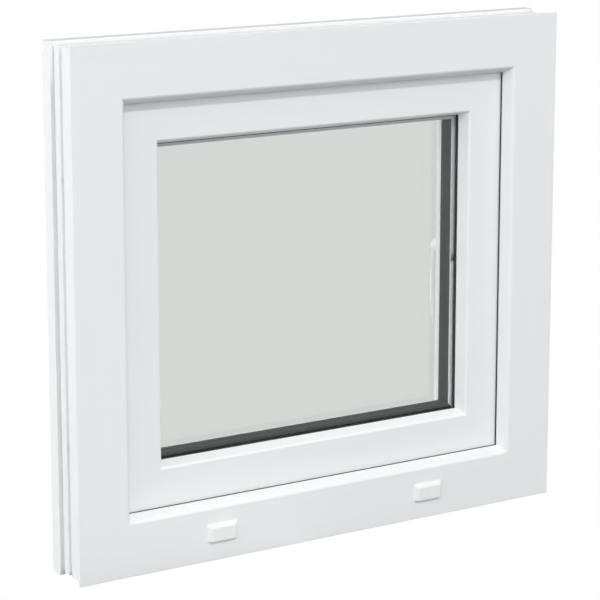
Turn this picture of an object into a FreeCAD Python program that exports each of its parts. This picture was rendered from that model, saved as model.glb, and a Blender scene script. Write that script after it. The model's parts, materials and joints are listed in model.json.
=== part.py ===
"""White uPVC tilt-and-turn casement window, drawn as separate pieces in millimetres.

X runs along the window's width, +X to the right seen from outside. +Y points into the room and
+Z up. The origin is the middle of the bottom of the fixed frame, halfway through its depth.
Pieces are drawn with Y measured from the frame's outer face and then placed half the frame's
depth forward. An inset is a distance from the window's outer edge towards its middle.
"""
import FreeCAD, Part
import os
import re
import Sketcher

# Driving dimensions: name, value.
SIZES = (
    ("window_width", 650), ("window_height", 600), ("frame_depth", 66),
    # The fixed frame's section, as insets and depths.
    ("frame_face", 63), ("frame_lip", 69), ("lip_bevel", 12.4), ("lip_back", 15),
    ("frame_rebate", 49), ("wall", 3), ("rib_drop", 3.5), ("groove_drop", 6.5),
    ("groove_a_front", 3), ("groove_a_back", 9), ("groove_b_front", 26), ("groove_b_back", 33),
    ("groove_c_front", 44.5), ("groove_c_back", 48.4), ("slot_width", 3.5), ("slot_deep", 3.5),
    # The sash's section.
    ("seal_gap", 3), ("seal_recess", 0.4), ("rebate_gap", 12), ("flange_thick", 19),
    ("sash_face_width", 53), ("sash_bevel", 5), ("glass_stop_depth", 16.5), ("flange_gap", 3), ("flange_overlap", 8),
    ("glass_rebate_depth", 16), ("rail_groove_width", 12), ("rack_gap", 2.9),
    ("groove_to_flange", 11), ("bead_rise", 2), ("bead_slope", 7), ("bead_lip", 6),
    # Glazing.
    ("pane", 4), ("cavity", 20), ("gasket", 3), ("gasket_show", 0.7), ("glass_gap", 5),
    ("sealant_width", 9), ("spacer_height", 7.3), ("block_length", 60), ("block_inset", 60),
    # Reinforcement.
    ("steel_wall", 2), ("steel_end_gap", 2),
    # Drainage.
    ("cap_inset", 182), ("cap_width", 40), ("cap_height", 20), ("cap_proud", 5), ("cap_base", 24),
    ("cap_slope", 4), ("cap_wall", 1.6), ("drain_width", 26), ("drain_height", 5),
    # Wall fixings.
    ("fixing_radius", 3.1), ("fixing_spacing", 300), ("steel_lead", 4),
    # Hinge side.
    ("hinge_reach", 7.5), ("hinge_proud", 8), ("plate_thick", 3), ("tilt_pin_radius", 2.5),
    ("turn_pin_radius", 4), ("running_gap", 0.05), ("knuckle_radius", 7.5), ("band_height", 36.5),
    ("band_plate", 2.5), ("band_width", 34), ("ear_thick", 4), ("pivot_width", 22),
    ("pivot_radius", 5), ("foot_gap", 7.5),
    # Stay arm.
    ("arm_length", 231.5), ("arm_width", 10), ("arm_thick", 3), ("arm_lift", 0.3),
    ("eye_radius", 6.5), ("eye_height", 4), ("stay_pin_radius", 3), ("fork_radius", 7),
    ("fork_slot", 5.9), ("fork_thick", 6), ("fork_gap", 17), ("gap_plate", 1.8),
    # Locking gear.
    ("backset", 15), ("pinion_radius", 10.5), ("pinion_thick", 8),
    ("tooth_rise", 1.6), ("tooth_root", 1.9), ("tooth_half", 1.0), ("rod_width", 8),
    ("rod_gap", 0.2), ("faceplate_thick", 2.5), ("faceplate_width", 14), ("travel", 33),
    ("cam_radius", 4), ("cam_margin", 135), ("top_cam_inset", 215), ("cam_rise", 6),
    ("keep_plate", 2), ("keep_lip", 5), ("keep_width", 18), ("keep_length", 80),
    ("gearbox_height", 60), ("gearbox_back", 15), ("drive_leg", 44),
    ("rod_end", 20), ("faceplate_end", 25), ("keep_shift", 5), ("slot_play", 1),
    ("screw_shank", 1.9), ("screw_reach", 3),
    # Handle.
    ("spindle_side", 7), ("rose_width", 30), ("rose_height", 68), ("rose_depth", 10.5),
    ("rose_wall", 1.5), ("neck_radius", 9), ("neck_gap", 0.1), ("neck_length", 34),
    ("screw_spacing", 43), ("screw_radius", 2.4), ("screw_gap", 0.1),
)

# Values that follow from the driving dimensions.
DERIVED = {
    "half_width": "window_width / 2",
    "half_height": "window_height / 2",
    "handle_height": "half_height",
    "sash_front": "lip_back + seal_gap",
    "sash_back": "flange_front + flange_thick",
    "sash_edge": "frame_rebate + rebate_gap",
    "sash_face": "sash_edge + sash_face_width",
    "sash_lip": "sash_face + sash_bevel",
    "glass_stop": "sash_front + glass_stop_depth",
    "glass_rebate": "sash_lip - glass_rebate_depth",
    "flange_front": "frame_depth + flange_gap",
    "flange_edge": "frame_rebate - flange_overlap",
    "rail_groove_back": "flange_front - groove_to_flange",
    "rail_groove_front": "rail_groove_back - rail_groove_width",
        "rail_middle": "rail_groove_front + rail_groove_width / 2",
    "rack_pitch": "sash_edge + backset - pinion_radius",
    "rail_groove_floor": "rack_pitch + tooth_rise + rack_gap",
    "pane_front": "glass_stop + gasket",
    "cavity_front": "pane_front + pane",
    "cavity_back": "cavity_front + cavity",
    "pane_back": "cavity_back + pane",
    "bead_front": "pane_back + gasket",
    "bead_top": "sash_lip + bead_rise",
    "bead_low": "bead_top - bead_slope",
    "glass_edge": "glass_rebate + glass_gap",
    "spacer_edge": "glass_edge + sealant_width",
    "spacer_top": "spacer_edge + spacer_height",
    "frame_slot_high": "frame_face + 2.5",
    "frame_slot_low": "frame_slot_high - slot_width",
    "chamber_low": "groove_drop + wall",
    "frame_chamber_top": "frame_rebate - wall",
    "steel_front": "groove_b_front - steel_lead",
    "fixing_depth": "(groove_b_front + groove_b_back) / 2",
    "steel_back": "frame_depth - wall",
    "sash_steel_low": "rail_groove_floor + wall",
    "sash_steel_top": "glass_rebate - wall",
    "sash_steel_back": "flange_front - wall",
    "flange_slot_low": "flange_edge + wall",
    "flange_slot_high": "flange_slot_low + slot_width",
    "hinge_x": "-half_width + flange_edge - hinge_reach",
    "hinge_depth": "flange_front + hinge_proud",
    "tilt_z": "flange_edge - hinge_reach",
    "faceplate_edge": "sash_edge - faceplate_thick",
    "arm_top_z": "arm_z + arm_thick",
    "arm_z": "window_height - sash_edge + arm_lift",
    "stay_pin_x": "hinge_x + arm_length",
    "spindle_x": "half_width - sash_edge - backset",
    "rod_edge": "sash_edge + rod_gap",
    "rod_floor": "rack_pitch - tooth_root",
    "cam_tip": "faceplate_edge - cam_rise",
    "low_cam_z": "cam_margin",
    "high_cam_z": "window_height - cam_margin",
    "top_cam_x": "half_width - top_cam_inset",
    "keep_floor": "frame_rebate + keep_plate",
    "keep_tip": "keep_floor + keep_lip",
    "tooth_pitch": "6.283185307 * pinion_radius / 11",
}
TOOTH_COUNT = 11
SIDES = ("bottom", "left", "top", "right")

doc = FreeCAD.newDocument("casement_window")
sheet = doc.addObject("Spreadsheet::Sheet", "Sizes")
SUBPARTS = []


def fill_sheet():
    """Write the driving dimensions as plain numbers with aliases."""
    for row, (name, value) in enumerate(SIZES, start=1):
        sheet.set(f"A{row}", name)
        sheet.set(f"B{row}", str(value))
        sheet.setAlias(f"B{row}", name)
    doc.recompute()


DRIVING = {name for name, value in SIZES}


def cells(text):
    """Turn named sizes in an expression into references to the sheet."""
    def expand(match):
        name = match.group(0)
        if name in DERIVED:
            return "(" + cells(DERIVED[name]) + ")"
        return "Sizes." + name if name in DRIVING else name
    return re.sub(r"[a-z][a-z_]*", expand, str(text))


def value(text):
    """The number that an expression over the sheet gives."""
    return float(sheet.evalExpression(cells(text)))


def bind(item, prop, text):
    item.setExpression(prop, cells(text))


def place(item, label, depth="0"):
    """Name a sub-part and move it from the outer face's depth scale to the window's frame."""
    item.Label = label
    bind(item, "Placement.Base.y", f"{depth} - frame_depth / 2")
    SUBPARTS.append(item)
    return item


# Sketch and feature helpers.
def add_sketch(body, role, offset="0"):
    """An empty sketch on one of the body's own origin planes, moved along its normal."""
    plane = next(f for f in body.Origin.OriginFeatures if f.Role == role)
    sketch = body.newObject("Sketcher::SketchObject", "Sketch")
    sketch.AttachmentSupport = [(plane, "")]
    sketch.MapMode = "FlatFace"
    bind(sketch, "AttachmentOffset.Base.z", offset)
    return sketch


def add_loop(sketch, points):
    """A closed outline whose every corner is held by the sheet."""
    first = sketch.GeometryCount
    spots = [FreeCAD.Vector(value(a), value(b), 0) for a, b in points]
    for index, spot in enumerate(spots):
        sketch.addGeometry(Part.LineSegment(spot, spots[(index + 1) % len(spots)]))
    for index, (spot, pair) in enumerate(zip(spots, points)):
        line = first + index
        before = first + (index - 1) % len(spots)
        sketch.addConstraint(Sketcher.Constraint("Coincident", before, 2, line, 1))
        for kind, number, text in zip(("DistanceX", "DistanceY"), spot[:2], pair):
            held = sketch.addConstraint(Sketcher.Constraint(kind, -1, 1, line, 1, number))
            bind(sketch, f"Constraints[{held}]", text)


def add_circle(sketch, across, up, radius):
    """A circle whose centre and radius are held by the sheet."""
    centre = FreeCAD.Vector(value(across), value(up), 0)
    ring = sketch.addGeometry(Part.Circle(centre, FreeCAD.Vector(0, 0, 1), value(radius)))
    for kind, number, text in (("DistanceX", centre.x, across), ("DistanceY", centre.y, up)):
        held = sketch.addConstraint(Sketcher.Constraint(kind, -1, 1, ring, 3, number))
        bind(sketch, f"Constraints[{held}]", text)
    held = sketch.addConstraint(Sketcher.Constraint("Radius", ring, value(radius)))
    bind(sketch, f"Constraints[{held}]", radius)


def rectangle(low_a, high_a, low_b, high_b):
    return [(low_a, low_b), (low_a, high_b), (high_a, high_b), (high_a, low_b)]


def extrude(body, kind, sketch, length, side="Symmetric", backwards=False):
    """A Pad or Pocket of a sketch, of a length held by the sheet."""
    feature = body.newObject("PartDesign::" + kind, kind)
    feature.Profile = sketch
    feature.SideType = side
    feature.Reversed = backwards
    bind(feature, "Length", length)
    return feature


def cut_through(body, role, loops, length):
    """Cut closed outlines out of a body, evenly to both sides of an origin plane."""
    sketch = add_sketch(body, role)
    for points in loops:
        add_loop(sketch, points)
    doc.recompute()
    before = body.Shape.Volume
    extrude(body, "Pocket", sketch, length)
    doc.recompute()
    if body.Shape.Volume >= before:
        raise ValueError(f"{body.Label}: a pocket cut nothing")


def box(across, depth, up):
    """A Part box between three pairs of expressions: X, depth from the outer face, Z."""
    item = doc.addObject("Part::Box", "Box")
    for side, axis, (low, high) in zip(("Length", "Width", "Height"), "xyz", (across, depth, up)):
        bind(item, side, f"({high}) - ({low})")
        bind(item, f"Placement.Base.{axis}", low)
    return item


TURNS = {
    "x": FreeCAD.Rotation(FreeCAD.Vector(0, 1, 0), 90),
    "y": FreeCAD.Rotation(FreeCAD.Vector(1, 0, 0), -90),
    "z": FreeCAD.Rotation(),
}


def rod(axis, start, length, radius):
    """A Part cylinder along one axis from a start point (X, depth, Z)."""
    item = doc.addObject("Part::Cylinder", "Cylinder")
    item.Placement = FreeCAD.Placement(FreeCAD.Vector(), TURNS[axis])
    bind(item, "Radius", radius)
    bind(item, "Height", length)
    for letter, text in zip("xyz", start):
        bind(item, f"Placement.Base.{letter}", text)
    return item


def fuse(*items):
    if len(items) == 1:
        return items[0]
    result = doc.addObject("Part::MultiFuse", "Fusion")
    result.Shapes = list(items)
    return result


def cut(base, *tools):
    result = doc.addObject("Part::Cut", "Cut")
    result.Base = base
    result.Tool = fuse(*tools)
    return result


# Pieces that run round the window.
def turn_to_side(body, side, depth="0"):
    """Stand a piece drawn along the bottom edge on one of the four sides."""
    quarter = SIDES.index(side)
    body.Placement.Rotation = FreeCAD.Rotation(FreeCAD.Vector(0, 1, 0), 90 * quarter)
    across = {"left": "-half_width", "right": "half_width"}.get(side, "0")
    up = {"bottom": "0", "top": "window_height"}.get(side, "half_height")
    bind(body, "Placement.Base.x", across)
    bind(body, "Placement.Base.z", up)
    return place(body, body.Label, depth)


def side_length(side):
    return "window_width" if side in ("bottom", "top") else "window_height"


def edge_piece(node, side, outline, hollows, mitre=None, length=None):
    """One straight bar: a section of depth against inset, drawn along the bottom edge."""
    body = doc.addObject("PartDesign::Body", node)
    body.Label = node
    sketch = add_sketch(body, "YZ_Plane")
    for points in [outline] + hollows:
        add_loop(sketch, points)
    extrude(body, "Pad", sketch, length or side_length(side))
    if mitre:
        half = f"({side_length(side)}) / 2"
        right = [(f"{half} + 1", "-1"), (f"{half} + 1", f"{mitre} + 1"),
                 (f"{half} - {mitre} - 1", f"{mitre} + 1")]
        left = [(f"-({across})", up) for across, up in right]
        cut_through(body, "XZ_Plane", [right, left], "4 * frame_depth")
    return body


def ring(node, outer, inner, front, thick, notches=()):
    """A flat loop round the window between two insets."""
    body = doc.addObject("PartDesign::Body", node)
    body.Label = node
    sketch = add_sketch(body, "XZ_Plane")
    for inset in (outer, inner):
        add_loop(sketch, rectangle(f"-half_width + {inset}", f"half_width - ({inset})",
                                   inset, f"window_height - ({inset})"))
    extrude(body, "Pad", sketch, thick, "One side", True)
    if notches:
        cut_through(body, "XZ_Plane", notches, "4 * frame_depth")
    place(body, node, front)


FRAME_OUTLINE = [
    ("0", "0"), ("0", "frame_face"), ("lip_bevel", "frame_lip"), ("lip_back", "frame_lip"),
    ("lip_back", "frame_slot_high"), ("lip_back - slot_deep", "frame_slot_high"),
    ("lip_back - slot_deep", "frame_slot_low"), ("lip_back", "frame_slot_low"),
    ("lip_back", "frame_rebate"), ("frame_depth", "frame_rebate"), ("frame_depth", "0"),
    ("groove_c_back", "0"), ("groove_c_back", "groove_drop"), ("groove_c_front", "groove_drop"),
    ("groove_c_front", "rib_drop"), ("groove_b_back", "rib_drop"),
    ("groove_b_back", "groove_drop"), ("groove_b_front", "groove_drop"),
    ("groove_b_front", "rib_drop"), ("groove_a_back", "rib_drop"),
    ("groove_a_back", "groove_drop"), ("groove_a_front", "groove_drop"), ("groove_a_front", "0"),
]
FRAME_HOLLOWS = [
    rectangle("wall", "lip_back - wall", "chamber_low", "frame_slot_low - wall"),
    rectangle("lip_back", "steel_front - wall", "chamber_low", "frame_chamber_top"),
    rectangle("steel_front", "steel_back", "chamber_low", "frame_chamber_top"),
]


def frame_bars():
    """The fixed frame's four mitred uPVC bars, with screw holes and drain slots."""
    for side in SIDES:
        kind = "rail" if side in ("bottom", "top") else "stile"
        body = edge_piece(f"frame_{side}_{kind}", side, FRAME_OUTLINE, FRAME_HOLLOWS, "frame_lip")
        if kind == "stile":
            drill_fixings(body)
        if side == "bottom":
            drain_slots(body)
        turn_to_side(body, side)


def drill_fixings(body):
    """Two holes through a stile for the screws that hold the window in the wall."""
    sketch = add_sketch(body, "XY_Plane")
    for way in ("", "-"):
        add_circle(sketch, f"{way}fixing_spacing / 2", "fixing_depth", "fixing_radius")
    extrude(body, "Pocket", sketch, "4 * frame_lip")


def drain_slots(body):
    """Two slots through the front wall behind the caps and two through the rebate floor."""
    front, floor = [], []
    for way in ("", "-"):
        middle = f"{way}(half_width - cap_inset)"
        low, high = f"{middle} - drain_width / 2", f"{middle} + drain_width / 2"
        front.append(rectangle(low, high, "cap_base + 6", "cap_base + 6 + drain_height"))
        floor.append(rectangle(low, high, "lip_back + 1", "lip_back + 1 + drain_height"))
    cut_through(body, "XZ_Plane", front, "2 * (wall + 1)")
    sketch = add_sketch(body, "XY_Plane", "frame_rebate")
    for points in floor:
        add_loop(sketch, points)
    extrude(body, "Pocket", sketch, "2 * (wall + 1)")


SASH_OUTLINE = [
    ("sash_front", "sash_edge"), ("sash_front", "sash_face"), ("glass_stop", "sash_lip"),
    ("glass_stop", "glass_rebate"), ("sash_back", "glass_rebate"), ("sash_back", "flange_edge"),
    ("flange_front", "flange_edge"), ("flange_front", "flange_slot_low"),
    ("flange_front + slot_deep", "flange_slot_low"),
    ("flange_front + slot_deep", "flange_slot_high"), ("flange_front", "flange_slot_high"),
    ("flange_front", "sash_edge"), ("rail_groove_back", "sash_edge"),
    ("rail_groove_back", "rail_groove_floor"), ("rail_groove_front", "rail_groove_floor"),
    ("rail_groove_front", "sash_edge"),
]
SASH_HOLLOWS = [
    rectangle("sash_front + wall", "glass_stop - wall", "sash_edge + wall", "glass_rebate + wall"),
    rectangle("glass_stop", "sash_steel_back", "sash_steel_low", "sash_steel_top"),
    rectangle("flange_front + slot_deep + wall", "sash_back - wall", "flange_edge + wall",
              "sash_steel_top"),
]


def sash_bars():
    """The sash's four mitred uPVC bars; the handle's stile is routed for the gearbox."""
    for side in SIDES:
        kind = "rail" if side in ("bottom", "top") else "stile"
        body = edge_piece(f"sash_{side}_{kind}", side, SASH_OUTLINE, SASH_HOLLOWS, "sash_lip")
        if side == "right":
            rout_for_gearbox(body)
            drill_for_handle(body)
        turn_to_side(body, side)


def rout_for_gearbox(body):
    """Clear the lock groove's floor, and the steel under it, where the gearbox sits."""
    sketch = add_sketch(body, "XY_Plane", "rail_groove_floor")
    middle = "handle_height - half_height"
    add_loop(sketch, rectangle(f"{middle} - gearbox_height / 2", f"{middle} + gearbox_height / 2",
                               "rail_groove_front", "rail_groove_back"))
    extrude(body, "Pocket", sketch,
            "2 * (sash_edge + backset + gearbox_back - rail_groove_floor)")


def drill_for_handle(body):
    """Holes through the stile's room side for the spindle and the two handle screws."""
    sketch = add_sketch(body, "XZ_Plane", "-sash_back")
    middle = "handle_height - half_height"
    add_circle(sketch, middle, "sash_edge + backset", "spindle_side")
    for way in ("+", "-"):
        add_circle(sketch, f"{middle} {way} screw_spacing / 2", "sash_edge + backset",
                   "screw_radius + screw_gap")
    extrude(body, "Pocket", sketch, "2 * (sash_back - rail_groove_back)")


def steel_bars():
    """Box-section steel in the main chamber of every bar."""
    frame_box = ("steel_front", "steel_back", "chamber_low", "frame_chamber_top")
    sash_box = ("glass_stop", "sash_steel_back", "sash_steel_low", "sash_steel_top")
    for owner, (front, back, low, high) in (("frame", frame_box), ("sash", sash_box)):
        for side in SIDES:
            hollow = rectangle(f"{front} + steel_wall", f"{back} - steel_wall",
                               f"{low} + steel_wall", f"{high} - steel_wall")
            body = edge_piece(f"{owner}_steel_{side}", side, rectangle(front, back, low, high),
                              [hollow], length=f"{side_length(side)} - 2 * ({high} + steel_end_gap)")
            if owner == "frame" and side in ("left", "right"):
                drill_fixings(body)
            if owner == "sash" and side == "right":
                rout_for_gearbox(body)
                drill_for_handle(body)
            turn_to_side(body, side)


def glazing_beads():
    """Mitred beads that hold the glass from the room side."""
    outline = [("bead_front", "glass_rebate"), ("bead_front", "bead_top"),
               ("bead_front + bead_lip", "bead_top"), ("sash_back", "bead_low"),
               ("sash_back", "glass_rebate")]
    hollow = rectangle("bead_front + wall", "sash_back - wall", "glass_rebate + wall",
                       "bead_low - wall")
    for side in SIDES:
        body = edge_piece(f"glazing_bead_{side}", side, outline, [hollow], "bead_top")
        turn_to_side(body, side)


def seals():
    """The two weather seals and the two glazing gaskets."""
    notch = rectangle("-half_width + flange_edge", "-half_width + frame_rebate",
                      "arm_z - 1", "arm_z + eye_height + 1")
    ring("frame_seal", "frame_slot_low - 1", "frame_lip - seal_recess", "lip_back", "seal_gap - 0.3")
    ring("sash_seal", "flange_edge + 1", "frame_rebate - 1", "frame_depth + 0.3",
         "flange_gap - 0.3", [notch])
    ring("outer_glazing_gasket", "glass_edge + 3", "sash_lip + gasket_show", "glass_stop", "gasket")
    ring("inner_glazing_gasket", "glass_edge + 3", "bead_top + gasket_show", "pane_back", "gasket")


def glass_unit():
    """Two panes on a spacer bar, with the edge sealant outside it, and the setting blocks."""
    for node, front in (("outer_pane", "pane_front"), ("inner_pane", "cavity_back")):
        place(box(("-half_width + glass_edge", "half_width - glass_edge"),
                  (front, f"{front} + pane"), ("glass_edge", "window_height - glass_edge")), node,
              front)
    ring("spacer_bar", "spacer_edge", "spacer_top", "cavity_front", "cavity")
    ring("edge_sealant", "glass_edge", "spacer_edge", "cavity_front", "cavity")


def setting_blocks():
    """Plastic blocks that centre the glass in the sash, two on each side."""
    blocks = []
    depth = ("pane_front", "pane_back")
    for low, high in (("glass_rebate", "glass_edge"),
                      ("window_height - glass_edge", "window_height - glass_rebate")):
        for start in ("-half_width + glass_edge + block_inset",
                      "half_width - glass_edge - block_inset - block_length"):
            blocks.append(box((start, f"{start} + block_length"), depth, (low, high)))
    for low, high in (("-half_width + glass_rebate", "-half_width + glass_edge"),
                      ("half_width - glass_edge", "half_width - glass_rebate")):
        for start in ("glass_edge + block_inset",
                      "window_height - glass_edge - block_inset - block_length"):
            blocks.append(box((low, high), depth, (start, f"{start} + block_length")))
    place(fuse(*blocks), "setting_blocks")


def drain_caps():
    """Hooded caps over the frame's drain slots, sloped at the top and sides, open below."""
    for node, way in (("drain_cap_left", "-"), ("drain_cap_right", "")):
        middle = f"{way}(half_width - cap_inset)"
        body = doc.addObject("PartDesign::Body", node)
        loft_hood(body, "AdditiveLoft", middle, "cap_width / 2", "cap_base",
                  "cap_base + cap_height", "cap_proud")
        loft_hood(body, "SubtractiveLoft", middle, "cap_width / 2 - cap_wall", "cap_base - 1",
                  "cap_base + cap_height - cap_wall", "cap_proud - cap_wall")
        place(body, node)


def loft_hood(body, kind, middle, half, low, high, proud):
    """One sloped hood, solid or cut away, from the frame's face to its flat front."""
    back = add_sketch(body, "XZ_Plane")
    add_loop(back, rectangle(f"{middle} - {half}", f"{middle} + {half}", low, high))
    front = add_sketch(body, "XZ_Plane", proud)
    add_loop(front, rectangle(f"{middle} - {half} + cap_slope", f"{middle} + {half} - cap_slope",
                              low, f"{high} - cap_slope"))
    loft = body.newObject("PartDesign::" + kind, "Hood")
    loft.Profile = back
    loft.Sections = [front]


# Hinge side.
def lower_bearing():
    """The bracket on the frame that carries the sash's corner, its pin and its cover."""
    left = "hinge_x - pivot_width / 2 - 0.5"
    right = "hinge_x + pivot_width / 2 + 0.5"
    low, high = "tilt_z - 5", "tilt_z + 5"
    ears = [box((f"{left} - ear_thick", left), ("frame_depth", "hinge_depth + 5"), (low, high)),
            box((right, f"{right} + ear_thick"), ("frame_depth", "hinge_depth + 5"), (low, high))]
    plate = box((f"{left} - ear_thick - 6", f"{right} + ear_thick + 1"),
                ("frame_depth", "flange_front"), ("tilt_z - 22", "flange_edge - 1.5"))
    start = (f"{left} - ear_thick - 1", "hinge_depth", "tilt_z")
    length = "pivot_width + 1 + 2 * (ear_thick + 1)"
    place(cut(fuse(plate, *ears), rod("x", start, length, "tilt_pin_radius")), "lower_bearing")
    pin = rod("x", start, length, "tilt_pin_radius")
    place(pin, "tilt_pin", "hinge_depth")
    low_x, high_x = f"{left} - ear_thick - 3", f"{right} + ear_thick + 3"
    shell = box((low_x, high_x), ("flange_front", "sash_back - 2"), ("tilt_z - 12", "tilt_z + 5.3"))
    inside = box((f"{low_x} + 1.5", f"{high_x} - 1.5"), ("flange_front - 1", "sash_back - 3.5"),
                 ("tilt_z - 10.5", "tilt_z + 6"))
    place(cut(shell, inside), "lower_bearing_cover")


def corner_pivot():
    """The piece that tilts on the bearing's pin and carries the pin that the sash turns on."""
    barrel = rod("x", ("hinge_x - pivot_width / 2", "hinge_depth", "tilt_z"), "pivot_width",
                 "pivot_radius")
    post = rod("z", ("hinge_x", "hinge_depth", "tilt_z"), "foot_gap + 0.5 + band_height",
               "turn_pin_radius")
    bore = rod("x", ("hinge_x - pivot_width / 2 - 1", "hinge_depth", "tilt_z"), "pivot_width + 2",
               "tilt_pin_radius + running_gap")
    place(cut(fuse(barrel, post), bore), "corner_pivot")


def corner_band():
    """The sash's lower hinge leaf: a knuckle on the turn pin and a plate on the flange."""
    low = "tilt_z + foot_gap + 0.5"
    up = (low, f"{low} + band_height")
    knuckle = rod("z", ("hinge_x", "hinge_depth", low), "band_height", "knuckle_radius - 0.4")
    arm = box(("hinge_x + turn_pin_radius", "hinge_x + hinge_reach"),
              ("hinge_depth", "sash_back + band_plate"), up)
    plate = box(("hinge_x + turn_pin_radius", "hinge_x + band_width"),
                ("sash_back", "sash_back + band_plate"), up)
    bore = rod("z", ("hinge_x", "hinge_depth", f"{low} - 1"), "band_height + 2",
               "turn_pin_radius + running_gap")
    place(cut(fuse(knuckle, arm, plate), bore), "corner_band")


def stay_bearing():
    """The open fork on the frame that holds the stay arm's pin, and its cover."""
    middle = "arm_z + eye_height / 2"
    low, high = f"{middle} - fork_gap / 2 - fork_thick", f"{middle} + fork_gap / 2 + fork_thick"
    plate = box(("hinge_x - 24", "hinge_x - 6"), ("frame_depth", "flange_front - 0.6"), (low, high))
    post = box(("hinge_x - 15", "hinge_x - 9.5"), ("frame_depth", "hinge_depth + fork_radius"),
               (low, high))
    tools = []
    leaves = [plate, post]
    for start in (low, f"{high} - fork_thick"):
        leaves.append(rod("z", ("hinge_x", "hinge_depth", start), "fork_thick", "fork_radius"))
        leaves.append(box(("hinge_x - 12", "hinge_x"), ("frame_depth", "hinge_depth + fork_radius"),
                          (start, f"{start} + fork_thick")))
    tools.append(rod("z", ("hinge_x", "hinge_depth", f"{low} - 1"), "fork_gap + 2 * fork_thick + 2",
                     "fork_slot"))
    tools.append(box(("hinge_x", "hinge_x + 2 * fork_radius"),
                     ("hinge_depth - fork_slot", "hinge_depth + fork_slot"),
                     (f"{low} - 1", f"{high} + 1")))
    place(cut(fuse(*leaves), *tools), "stay_bearing")
    shell = box(("hinge_x - 25.5", "hinge_x - 15"), ("flange_front - 0.6", "hinge_depth + 6.5"),
                (f"{low} - 2", f"{high} + 2"))
    inside = box(("hinge_x - 24", "hinge_x - 14"), ("flange_front - 1", "hinge_depth + 5"),
                 (f"{low} - 0.5", f"{high} + 0.5"))
    place(cut(shell, inside), "stay_bearing_cover")


def stay_arm():
    """The flat arm that holds the sash's top, cranked through the gap in front of the flange."""
    up = ("arm_z", "arm_top_z")
    rebate_left = "-half_width + frame_rebate + 1"
    low_depth, high_depth = "rail_middle - arm_width / 2", "rail_middle + arm_width / 2"
    bar = box((rebate_left, "stay_pin_x"), (low_depth, high_depth), up)
    nose = rod("z", ("stay_pin_x", "rail_middle", "arm_z"), "arm_thick", "arm_width / 2")
    gap = ("flange_front - 0.4 - gap_plate", "flange_front - 0.4")
    crank = box((rebate_left, f"{rebate_left} + 13"), (low_depth, gap[1]), up)
    wall = box(("hinge_x", f"{rebate_left} + 13"), gap, ("arm_z", "arm_z + eye_height"))
    web = box(("hinge_x - 4.5", "hinge_x + 4.5"), ("flange_front - 1", "hinge_depth - 4"),
              ("arm_z", "arm_z + eye_height"))
    eye = rod("z", ("hinge_x", "hinge_depth", "arm_z"), "eye_height", "eye_radius")
    hole = rod("z", ("stay_pin_x", "rail_middle", "arm_z - 1"), "arm_thick + 2",
               "stay_pin_radius + running_gap")
    socket = rod("z", ("hinge_x", "hinge_depth", "arm_z - 1"), "eye_height + 2", "stay_pin_radius")
    place(cut(fuse(bar, nose, crank, wall, web, eye), hole, socket), "stay_arm")
    start = ("hinge_x", "hinge_depth", "arm_z + eye_height / 2 - fork_gap / 2 - fork_thick - 2")
    place(rod("z", start, "fork_gap + 2 * fork_thick + 4", "stay_pin_radius"), "bearing_pin",
          "hinge_depth")
    foot = box(("stay_pin_x - 8", "stay_pin_x + 8"), ("rail_groove_front", "rail_groove_back"),
               ("window_height - rail_groove_floor", "window_height - sash_edge"))
    shank = rod("z", ("stay_pin_x", "rail_middle", "window_height - sash_edge - 1"),
                "arm_thick + arm_lift + 1.3", "stay_pin_radius")
    head = rod("z", ("stay_pin_x", "rail_middle", "arm_top_z + 0.3"), "1.2", "stay_pin_radius + 2")
    place(fuse(foot, shank, head), "stay_pin")


# Locking gear.
def faceplates():
    """Steel strips that cover the lock groove, slotted for the locking cams."""
    depth = ("rail_middle - faceplate_width / 2", "rail_middle + faceplate_width / 2")
    slot = ("rail_middle - cam_radius - 0.4", "rail_middle + cam_radius + 0.4")
    across = ("half_width - sash_edge", "half_width - faceplate_edge")
    wide = ("half_width - sash_edge - 1", "half_width - faceplate_edge + 1")
    plate = box(across, depth, ("sash_edge + faceplate_end",
                                "window_height - sash_edge - faceplate_end"))
    slots = []
    for middle in ("low_cam_z", "high_cam_z"):
        slots.append(box(wide, slot, (f"{middle} - travel - cam_radius - slot_play",
                                      f"{middle} + cam_radius + slot_play")))
    place(cut(plate, *slots), "side_faceplate")
    up = ("window_height - sash_edge", "window_height - faceplate_edge")
    tall = ("window_height - sash_edge - 1", "window_height - faceplate_edge + 1")
    plate = box(("stay_pin_x + 10", "half_width - sash_edge - faceplate_end"), depth, up)
    opening = box(("top_cam_x - cam_radius - slot_play",
                   "top_cam_x + travel + cam_radius + slot_play"), slot, tall)
    place(cut(plate, opening), "top_faceplate")


def side_drive():
    """The sliding rod with its rack, and its two cams."""
    body = doc.addObject("PartDesign::Body", "side_drive_rod")
    sketch = add_sketch(body, "XZ_Plane")
    right, left = "half_width - rod_edge", "half_width - rod_floor"
    points = [(right, "sash_edge + travel + rod_end"), (left, "sash_edge + travel + rod_end")]
    for index in range(-2, 8):
        middle = f"(handle_height + {index} * tooth_pitch)"
        tip = "half_width - rack_pitch - tooth_rise"
        points += [(left, f"{middle} - tooth_half - 0.6"), (tip, f"{middle} - tooth_half + 0.5"),
                   (tip, f"{middle} + tooth_half - 0.5"), (left, f"{middle} + tooth_half + 0.6")]
    top = "window_height - sash_edge - drive_leg - 2"
    points += [(left, top), (right, top)]
    add_loop(sketch, points)
    extrude(body, "Pad", sketch, "rod_width", "One side", True)
    place(body, "side_drive_rod", "rail_middle - rod_width / 2")
    cams = []
    for middle in ("low_cam_z", "high_cam_z"):
        start = ("half_width - rod_edge", "rail_middle", middle)
        cams.append(rod("x", start, "rod_edge - cam_tip", "cam_radius"))
    place(fuse(*cams), "side_cams")


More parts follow.
